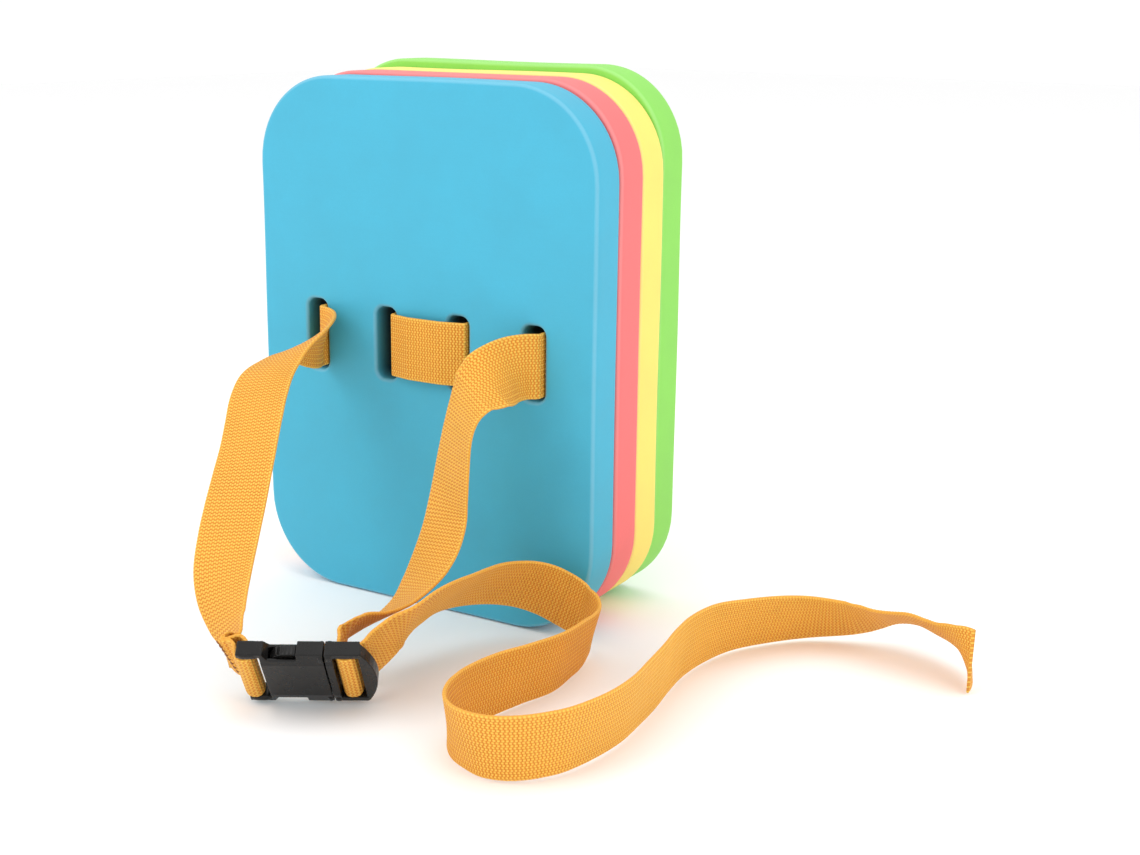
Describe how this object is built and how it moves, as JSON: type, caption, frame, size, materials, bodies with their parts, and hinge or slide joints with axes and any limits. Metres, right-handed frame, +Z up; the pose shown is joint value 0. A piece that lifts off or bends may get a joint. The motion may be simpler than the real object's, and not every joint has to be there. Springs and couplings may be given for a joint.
{
  "type": "kickboard float",
  "caption": "Upright stack of rounded foam sheets threaded on a webbing belt, worn on the back and closed by a side-release buckle, with a long loose adjusting end.",
  "frame": {"origin": "on the ground, in the middle of the base of the foam stack", "axes": "+Z up along the sheets' length, +X to the right seen from the front, front face of the stack (the blue sheet, the buckle side) towards -Y"},
  "size_m": [0.3575, 0.2348, 0.2585],
  "materials": {
    "foam_blue": "matt closed-cell foam, light blue",
    "foam_coral": "matt closed-cell foam, coral pink",
    "foam_yellow": "matt closed-cell foam, pale yellow",
    "foam_green": "matt closed-cell foam, lime green",
    "webbing": "ribbed plain-weave webbing, orange",
    "thread": "dark sewing thread",
    "buckle_plastic": "satin black moulded acetal"
  },
  "bodies": {
    "root": {"foam_sheet_blue": "foam_blue", "foam_sheet_coral": "foam_coral", "foam_sheet_yellow": "foam_yellow", "foam_sheet_green": "foam_green", "webbing_threaded_run": "webbing", "webbing_left_strap": "webbing", "webbing_loose_tail": "webbing", "loop_stitching": "thread", "buckle_socket": "buckle_plastic"},
    "plug": {"buckle_plug": "buckle_plastic", "webbing_adjusting_strap": "webbing"},
    "arm_upper": {"release_arm_upper": "buckle_plastic"},
    "arm_lower": {"release_arm_lower": "buckle_plastic"}
  },
  "joints": [
    {"name": "buckle_release", "type": "slide", "parent": "root", "child": "plug", "axis": [0.8744, 0.4847, 0.0209], "range_m": [0, 0.034], "deforming": ["webbing_adjusting_strap", "release_arm_upper", "release_arm_lower"]},
    {"name": "release_arm_upper_squeeze", "type": "hinge", "parent": "plug", "child": "arm_upper", "pos_m": [0.04482, -0.16839, 0.02641], "axis": [0.3982, -0.6924, -0.6017], "range_deg": [0, 10], "stiffness_Nm_per_rad": 0.3},
    {"name": "release_arm_lower_squeeze", "type": "hinge", "parent": "plug", "child": "arm_lower", "pos_m": [0.03922, -0.1576, 0.01028], "axis": [-0.3982, 0.6924, 0.6017], "range_deg": [0, 10], "stiffness_Nm_per_rad": 0.3}
  ]
}
